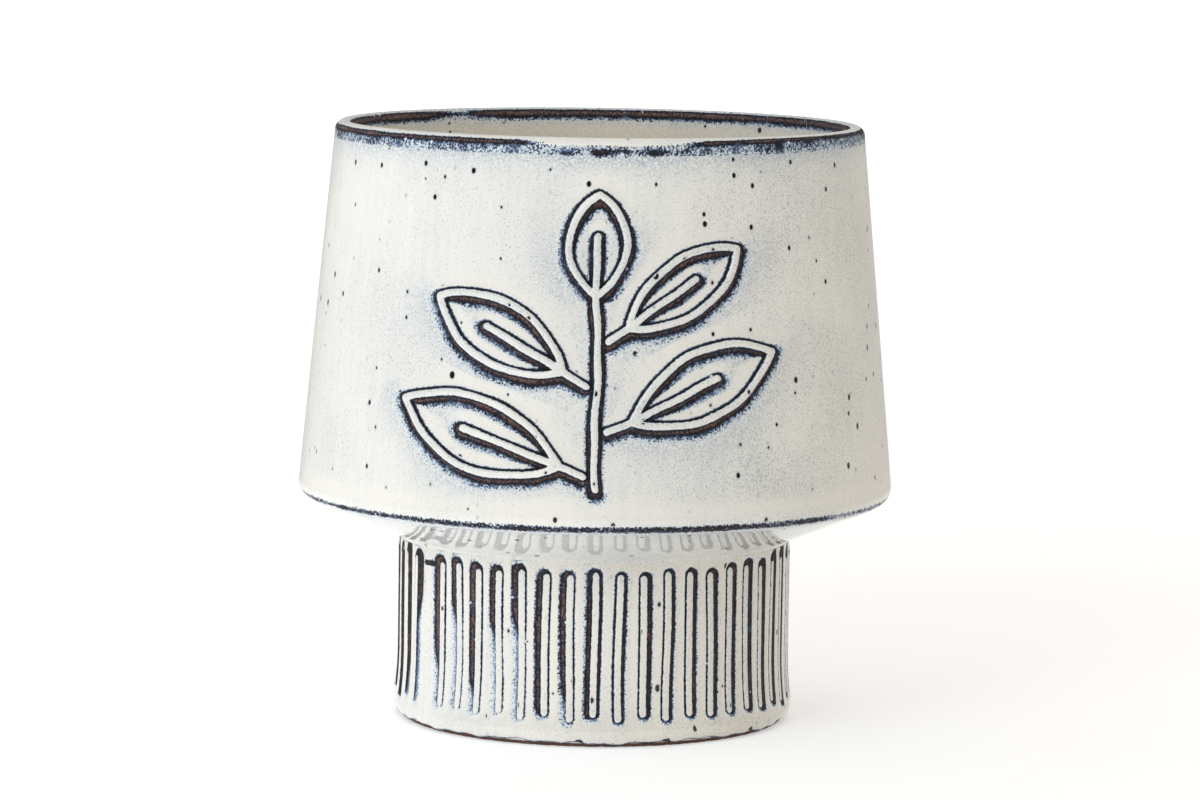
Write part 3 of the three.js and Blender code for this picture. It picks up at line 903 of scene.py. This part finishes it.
near_edge = add_node(tree, "Clamp", {"Value": open_edge, "Min": -1.0, "Max": 1.0}).outputs[0]
uneven = add_node(tree, "Math", {0: near_edge, 1: noise["grain"]}, operation="MULTIPLY").outputs[0]
for more in (noise["ragged"], noise["teeth"], noise["drift"]):
    uneven = add_node(tree, "Math", {0: uneven, 1: more}, operation="ADD").outputs[0]
worn = add_node(tree, "Math", {0: barb_mm, 1: feather, 2: open_edge}, operation="MULTIPLY_ADD").outputs[0]
worn = add_node(tree, "Math", {0: uneven, 1: unrest, 2: worn}, operation="MULTIPLY_ADD").outputs[0]
worn = add_node(tree, "Math", {0: worn, 1: bridge_mm}, operation="ADD").outputs[0]
black_under = add_node(tree, "MapRange", {"Value": feather, "To Min": -1.4, "To Max": -0.25}).outputs[0]
worn = add_node(tree, "Math", {0: worn, 1: black_under}, operation="MAXIMUM").outputs[0]
crisp_top = add_node(tree, "MapRange", {
    "Value": strip_top, "From Min": -0.5, "From Max": 0.6, "To Min": -4.0, "To Max": 4.8}).outputs[0]
toothed_top = add_node(tree, "Math", {0: noise["teeth"], 1: TOOTH_SHARE, 2: crisp_top},
                       operation="MULTIPLY_ADD").outputs[0]
thickness = add_node(tree, "Math", {0: worn, 1: toothed_top}, operation="MAXIMUM").outputs[0]
print("noises:", ", ".join(NOISES))

# %% [markdown]
# ## From clay to cream
# As the glaze grows thicker, the eye sees brown clay, a black line where the iron is richest, navy, blue and
# white. A colour ramp gives those steps in that order.

# %% The glaze: brown, navy, blue and white by its thickness
RAMP_LOW, RAMP_HIGH = -1.4, 2.0
# Thickness of the glaze, as the fields give it, and the colour there.
GLAZE_STEPS = ((-1.4, "#705a58"), (-0.8, "#594140"), (-0.5, "#302326"), (-0.2, "#0e0b0f"), (0.05, "#0d1322"),
               (0.3, "#344768"), (0.6, "#758aa8"), (0.95, "#b9c8d5"), (1.3, "#e4e9eb"), (1.7, "#f2f1ee"))
spread = add_node(tree, "MapRange", {
    "Value": thickness, "From Min": RAMP_LOW, "From Max": RAMP_HIGH}).outputs[0]
edge_colour = add_node(tree, "ValToRGB", {"Fac": spread})
steps = edge_colour.color_ramp.elements
while len(steps) < len(GLAZE_STEPS):
    steps.new(1.0)
for step, (at, colour) in zip(steps, GLAZE_STEPS):
    step.position = (at - RAMP_LOW) / (RAMP_HIGH - RAMP_LOW)
    step.color = linear(colour)
print("steps from clay to cream:", len(steps))

# %% [markdown]
# ## The open wall
# Where the glaze lies deep it is cream with faint upright runs, fine grey dots, and the blue or clear haze of
# the fields. The runs are 50 mm long and under 2 mm wide, as the glaze ran down the wall.

# %% The glaze: runs, stipple and haze on the open wall
CREAM, RUN = linear("#efeee9"), linear("#e3e4e2")
DOT_GREY, CLEAR, HAZE_BLUE = linear("#95a1a6"), linear("#f4f1ea"), linear("#97abbf")
# Painted warm shade: a warmer, slightly darker cream where the pot lies in shade.
WARM_SHADE_CREAM = linear("#f2e7d5")
SHADE_WARM_SHARE = 0.6
STIPPLE_SHARE = 0.45
CLOUD_IN_RUNS, CLOUD_IN_DOTS = 0.2, 0.25
RUN_SIZE = Vector((per_metre(1.8), per_metre(1.8), per_metre(50)))
run_place = add_node(tree, "VectorMath", {0: place, 1: RUN_SIZE}, operation="MULTIPLY").outputs[0]
runs = add_node(tree, "TexNoise", {"Vector": run_place, "Scale": 1.0, "Detail": 3.0}).outputs[0]
run_tone = add_node(tree, "Math", {0: noise["clouds"], 1: CLOUD_IN_RUNS, 2: runs},
                    operation="MULTIPLY_ADD").outputs[0]
run_share = add_node(tree, "MapRange", {"Value": run_tone, "From Min": 0.2, "From Max": 0.8}).outputs[0]

hazy = add_node(tree, "Math", {0: haze, 1: noise["grain"], 2: haze}, operation="MULTIPLY_ADD").outputs[0]
blue_share = add_node(tree, "MapRange", {"Value": hazy, "From Max": 1.2, "To Max": 0.75}).outputs[0]
clear_share = add_node(tree, "MapRange", {"Value": haze, "From Max": -0.7, "To Max": 0.8}).outputs[0]
dots = add_node(tree, "Math", {0: noise["clouds"], 1: CLOUD_IN_DOTS, 2: noise["fine"]},
                operation="MULTIPLY_ADD").outputs[0]
dots = add_node(tree, "Math", {0: stipple, 1: STIPPLE_SHARE, 2: dots}, operation="MULTIPLY_ADD").outputs[0]
dot_share = add_node(tree, "MapRange", {
    "Value": dots, "From Min": 0.55, "From Max": 1.5, "To Max": 0.6}).outputs[0]
shade_warm_share = add_node(tree, "Math", {0: shade_warmth, 1: SHADE_WARM_SHARE}, operation="MULTIPLY").outputs[0]

wall_colour = CREAM
for share, colour in ((run_share, RUN), (dot_share, DOT_GREY), (clear_share, CLEAR), (blue_share, HAZE_BLUE),
                      (shade_warm_share, WARM_SHADE_CREAM)):
    wall_colour = add_node(tree, "Mix", {"Factor": share, "A": wall_colour, "B": colour},
                           data_type="RGBA").outputs[2]
open_share = add_node(tree, "MapRange", {"Value": thickness, "From Min": 0.9, "From Max": 2.6}).outputs[0]
body_colour = add_node(tree, "Mix", {"Factor": open_share, "A": edge_colour.outputs[0], "B": wall_colour},
                       data_type="RGBA").outputs[2]
print("nodes in the glaze so far:", len(tree.nodes))

# %% [markdown]
# ## Iron specks
# Grains of iron in the clay melt up through the glaze as dark specks with a blue halo. They are scattered one
# to a cell of a Voronoi pattern, and only the cells with a high draw get one.

# %% The glaze: iron specks
SPECK_CELL = Vector((per_metre(2.4), per_metre(2.4), per_metre(3.2)))
SPECK_DARK, SPECK_HALO = linear("#12141c"), linear("#8fa0b0")
speck_place = add_node(tree, "VectorMath", {0: place, 1: SPECK_CELL}, operation="MULTIPLY").outputs[0]
specks = add_node(tree, "TexVoronoi", {"Vector": speck_place, "Scale": 1.0})
chance = add_node(tree, "SeparateColor", {"Color": specks.outputs["Color"]}).outputs[0]
speck_size = add_node(tree, "MapRange", {
    "Value": chance, "From Min": 0.85, "From Max": 1.0, "To Min": 0.08, "To Max": 0.32},
    clamp=False).outputs[0]
speck_depth = add_node(tree, "Math", {0: speck_size, 1: specks.outputs["Distance"]},
                       operation="SUBTRACT").outputs[0]
room = add_node(tree, "MapRange", {"Value": thickness, "From Min": 2.3, "From Max": 3.0}).outputs[0]
speck = add_node(tree, "MapRange", {"Value": speck_depth, "From Min": 0.0, "From Max": 0.05}).outputs[0]
halo = add_node(tree, "MapRange", {
    "Value": speck_depth, "From Min": -0.14, "From Max": 0.0, "To Max": 0.3}).outputs[0]
speck_share, halo_share = (
    add_node(tree, "Math", {0: room, 1: share}, operation="MULTIPLY").outputs[0] for share in (speck, halo))
glaze_colour = body_colour
for share, colour in ((halo_share, SPECK_HALO), (speck_share, SPECK_DARK)):
    glaze_colour = add_node(tree, "Mix", {"Factor": share, "A": glaze_colour, "B": colour},
                            data_type="RGBA").outputs[2]
print("nodes in the glaze so far:", len(tree.nodes))

# %% [markdown]
# ## Gloss of the glaze
# Melted glaze is smooth glass with an IOR near 1.55, and bare clay is matt. The edge of the glaze stands a
# little proud of the clay, specks leave pits, and the open wall has a faint ripple.

# %% The glaze: gloss and relief
GLAZE_IOR = 1.55
MATT, GLASSY = 0.9, 0.02
GLAZE_STEP = 0.15 * MM
RIPPLE = 0.015 * MM
gloss = add_node(tree, "MapRange", {
    "Value": thickness, "From Min": -0.2, "From Max": 0.8, "To Min": MATT, "To Max": GLASSY}).outputs[0]
glaze_edge = add_node(tree, "MapRange", {"Value": thickness, "From Min": -0.1, "From Max": 0.9}).outputs[0]
pitted = add_node(tree, "Math", {0: glaze_edge, 1: speck_share}, operation="SUBTRACT").outputs[0]
bump = add_node(tree, "Bump", {"Height": pitted, "Distance": GLAZE_STEP, "Strength": 0.7}).outputs[0]
rippled = add_node(tree, "Bump", {"Height": noise["peel"], "Distance": RIPPLE, "Normal": bump}).outputs[0]
shader = add_node(tree, "BsdfPrincipled", {
    "Base Color": glaze_colour, "Roughness": gloss, "Normal": rippled, "IOR": GLAZE_IOR})
add_node(tree, "OutputMaterial", {"Surface": shader.outputs[0]})
print(glaze.name, "has", len(tree.nodes), "nodes")

# %% [markdown]
# ## Bare clay
# Dark iron-bearing stoneware, wiped and fired without glaze: matt, a little gritty, redder where it is thin.
# Only the ring shows it as a surface of its own, so one noise at the size of the grit is enough.

# %% The bare clay
GROG_SIZE = 0.8
CLAY_STEPS = ((0.3, "#3e261c"), (0.75, "#704d3b"))
CLAY_ROUGHNESS = 0.75
CLAY_IOR = 1.5
GROG_DEPTH = 0.2 * MM
clay, tree = new_finish("bare_brown_stoneware")
place = add_node(tree, "TexCoord").outputs["Object"]
grit_noise = add_node(tree, "TexNoise", {"Vector": place, "Scale": per_metre(GROG_SIZE), "Detail": 4.0})
grog = grit_noise.outputs["Fac"]
clay_colour = add_node(tree, "ValToRGB", {"Fac": grog})
for step, (at, colour) in zip(clay_colour.color_ramp.elements, CLAY_STEPS):
    step.position = at
    step.color = linear(colour)
clay_bump = add_node(tree, "Bump", {"Height": grog, "Distance": GROG_DEPTH, "Strength": 0.6}).outputs[0]
shader = add_node(tree, "BsdfPrincipled", {
    "Base Color": clay_colour.outputs[0], "Roughness": CLAY_ROUGHNESS, "Normal": clay_bump, "IOR": CLAY_IOR})
add_node(tree, "OutputMaterial", {"Surface": shader.outputs[0]})
print(clay.name, "has", len(tree.nodes), "nodes")

# %% [markdown]
# ## Dressing the pieces
# Each visible piece takes its finish, rides on the pot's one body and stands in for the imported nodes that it
# covers.

# %% Dress the pieces and tie them to the frame
SPRIG_NODES = [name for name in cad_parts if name.startswith(("leaf_", "sprig_"))]
RIB_NODES = [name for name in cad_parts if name.startswith("foot_rib_")]
for piece, finish, slot, nodes in (
    (drum, glaze, "cream_glaze", ["drum_wall", "shoulder_dish", *SPRIG_NODES]),
    (foot, glaze, "cream_glaze", ["foot_collar", *RIB_NODES]),
    (floor, glaze, "cream_glaze", ["floor_disc"]),
    (ring, clay, "bare_clay", ["standing_ring"]),
):
    piece.data.materials.append(finish)
    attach(piece, "root")
    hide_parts(*nodes)
    print(piece.name, "stands in for", len(nodes), "nodes")

# %% [markdown]
# ## Pale sheet
# The pot stands on a wide sheet of pale paper, which keeps its shadow. A plain sheet would render grey, so it
# also glows a little. The camera sees it near white. The glaze mirrors it bright close to the pot and dim far
# off, as a sheet ends in a room. As a light, it glows only at the left, where the lamp is.

# %% Pale sheet under the pot
SHEET_HALF = 14.0
WHITE = (1, 1, 1, 1)
PAPER, PAPER_ROUGHNESS = linear("#e5e6e9"), 0.9
UNDERGLOW = {"left": 0.8, "right": 0.06}


def rays_seen(tree):
    rays = add_node(tree, "LightPath").outputs
    mirrored = add_node(tree, "Math", {0: rays["Is Glossy Ray"], 1: rays["Is Transmission Ray"]},
                        operation="MAXIMUM").outputs[0]
    return rays["Is Camera Ray"], mirrored


sheet_mesh = bpy.data.meshes.new("pale_sheet")
sheet_mesh.from_pydata([(-SHEET_HALF, -SHEET_HALF, 0), (SHEET_HALF, -SHEET_HALF, 0),
                        (SHEET_HALF, SHEET_HALF, 0), (-SHEET_HALF, SHEET_HALF, 0)], [], [(0, 1, 2, 3)])
sheet = bpy.data.objects.new("pale_sheet", sheet_mesh)
bpy.context.scene.collection.objects.link(sheet)
paper, tree = new_finish("pale_paper")
shader = add_node(tree, "BsdfPrincipled", {"Base Color": PAPER, "Roughness": PAPER_ROUGHNESS})
in_camera, mirrored = rays_seen(tree)
spot = add_node(tree, "TexCoord").outputs["Object"]
away = add_node(tree, "VectorMath", {0: spot}, operation="LENGTH").outputs["Value"]
lift = add_node(tree, "MapRange", {
    "Value": away, "From Min": 0.15, "From Max": 2.5, "To Min": 0.4, "To Max": 0.65}).outputs[0]
sheen = add_node(tree, "MapRange", {
    "Value": away, "From Min": 0.2, "From Max": 0.6, "To Min": 0.45, "To Max": 0.0}).outputs[0]
across = add_node(tree, "SeparateXYZ", {0: spot}).outputs["X"]
bounce = add_node(tree, "MapRange", {
    "Value": across, "From Min": -0.12, "From Max": 0.06,
    "To Min": UNDERGLOW["left"], "To Max": UNDERGLOW["right"]}).outputs[0]
unseen = add_node(tree, "Mix", {"Factor": mirrored, "A": bounce, "B": sheen}).outputs[0]
glow_strength = add_node(tree, "Mix", {"Factor": in_camera, "A": unseen, "B": lift}).outputs[0]
glow = add_node(tree, "Emission", {"Color": WHITE, "Strength": glow_strength})
both = add_node(tree, "AddShader", {0: shader.outputs[0], 1: glow.outputs[0]})
add_node(tree, "OutputMaterial", {"Surface": both.outputs[0]})
sheet_mesh.materials.append(paper)
print("sheet", 2 * SHEET_HALF, "m wide")

# %% [markdown]
# ## Soft light of the room
# White walls light the pot evenly, warm from the right and paler from the left. The camera sees them white.
# In the glaze they are darker, and darkest on the camera's side, so the wall of the pot keeps its own colour.

# %% Soft light all round
AMBIENT = 0.745
SOFT_WARM = (1.0, 0.93, 0.81, 1.0)
SOFT_PALE = (1.0, 0.985, 0.955, 1.0)
DIM_FRONT = 0.15
DIM_BACK = 0.55
world = bpy.data.worlds.new("white_studio")
bpy.context.scene.world = world
world.use_nodes = True
world.node_tree.nodes.clear()
tree = world.node_tree
in_camera, mirrored = rays_seen(tree)
direct = add_node(tree, "Math", {0: in_camera, 1: mirrored}, operation="MAXIMUM").outputs[0]
outlook = add_node(tree, "TexCoord").outputs["Generated"]
heading = add_node(tree, "SeparateXYZ", {0: outlook}).outputs
backdrop = add_node(tree, "MapRange", {
    "Value": heading["Y"], "From Min": -0.6, "From Max": 0.7,
    "To Min": DIM_FRONT, "To Max": DIM_BACK}).outputs[0]
shown = add_node(tree, "Math", {0: in_camera, 1: backdrop}, operation="MAXIMUM").outputs[0]
strength = add_node(tree, "Mix", {"Factor": direct, "A": AMBIENT, "B": shown}).outputs[0]
rightward = add_node(tree, "MapRange", {"Value": heading["X"], "From Min": -0.7, "From Max": 0.7}).outputs[0]
room_tint = add_node(tree, "Mix", {"Factor": rightward, "A": SOFT_PALE, "B": SOFT_WARM},
                     data_type="RGBA").outputs[2]
tint = add_node(tree, "Mix", {"Factor": direct, "A": room_tint, "B": WHITE}, data_type="RGBA").outputs[2]
sky = add_node(tree, "Background", {"Color": tint, "Strength": strength})
add_node(tree, "OutputWorld", {"Surface": sky.outputs[0]})
print("room light", AMBIENT, "of white")

# %% [markdown]
# ## Main light
# One round soft box, a metre wide, stands high at the left front. It is a clear daylight blue, which the warm
# room light brings back to white on the front of the pot.

# %% Soft box
CLEAR_DAY = (0.77, 0.885, 1.0)
SOFT_BOX_PLACE = Vector((-1.0, -1.61, 1.2))
SOFT_BOX_AIM = Vector((0, 0, 0.08))
SOFT_BOX_SIZE = 1.0
SOFT_BOX_POWER = 9.0
light = bpy.data.lights.new("key_left", "AREA")
light.shape = "DISK"
light.size = SOFT_BOX_SIZE
light.energy = SOFT_BOX_POWER
light.color = CLEAR_DAY
lamp = bpy.data.objects.new("key_left", light)
lamp.location = SOFT_BOX_PLACE
lamp.rotation_euler = (SOFT_BOX_AIM - SOFT_BOX_PLACE).to_track_quat("-Z", "Y").to_euler()
bpy.context.scene.collection.objects.link(lamp)
print("soft box", round((SOFT_BOX_AIM - SOFT_BOX_PLACE).length, 2), "m from the pot")

# %% [markdown]
# ## Camera
# A long lens looks a little down on the pot from the front, with a slight roll. Its place and angles come
# from fitting the ellipses of the rim and base and the outline of the drum.

# %% Camera
CAMERA_PLACE = Vector((0.001, -1.280, 0.2321))
CAMERA_PITCH = math.radians(6.631)
CAMERA_ROLL = math.radians(0.82)
LENS_PIXELS = 4894.7
IMAGE_WIDTH = 1200
SENSOR = 36.0
forward = Vector((0, math.cos(CAMERA_PITCH), -math.sin(CAMERA_PITCH)))
level_up = Vector((0, math.sin(CAMERA_PITCH), math.cos(CAMERA_PITCH)))
right = Vector((math.cos(CAMERA_ROLL), 0, 0)) + math.sin(CAMERA_ROLL) * level_up
up = math.cos(CAMERA_ROLL) * level_up - Vector((math.sin(CAMERA_ROLL), 0, 0))
camera_data = bpy.data.cameras.new("photo_camera")
camera_data.sensor_width = SENSOR
camera_data.lens = LENS_PIXELS / IMAGE_WIDTH * SENSOR
camera = bpy.data.objects.new("photo_camera", camera_data)
camera.matrix_world = Matrix((
    (right.x, up.x, -forward.x, CAMERA_PLACE.x),
    (right.y, up.y, -forward.y, CAMERA_PLACE.y),
    (right.z, up.z, -forward.z, CAMERA_PLACE.z),
    (0, 0, 0, 1),
))
bpy.context.scene.collection.objects.link(camera)
bpy.context.scene.camera = camera
bpy.context.scene.view_settings.view_transform = "Standard"
print("lens", round(camera_data.lens, 1), "mm")
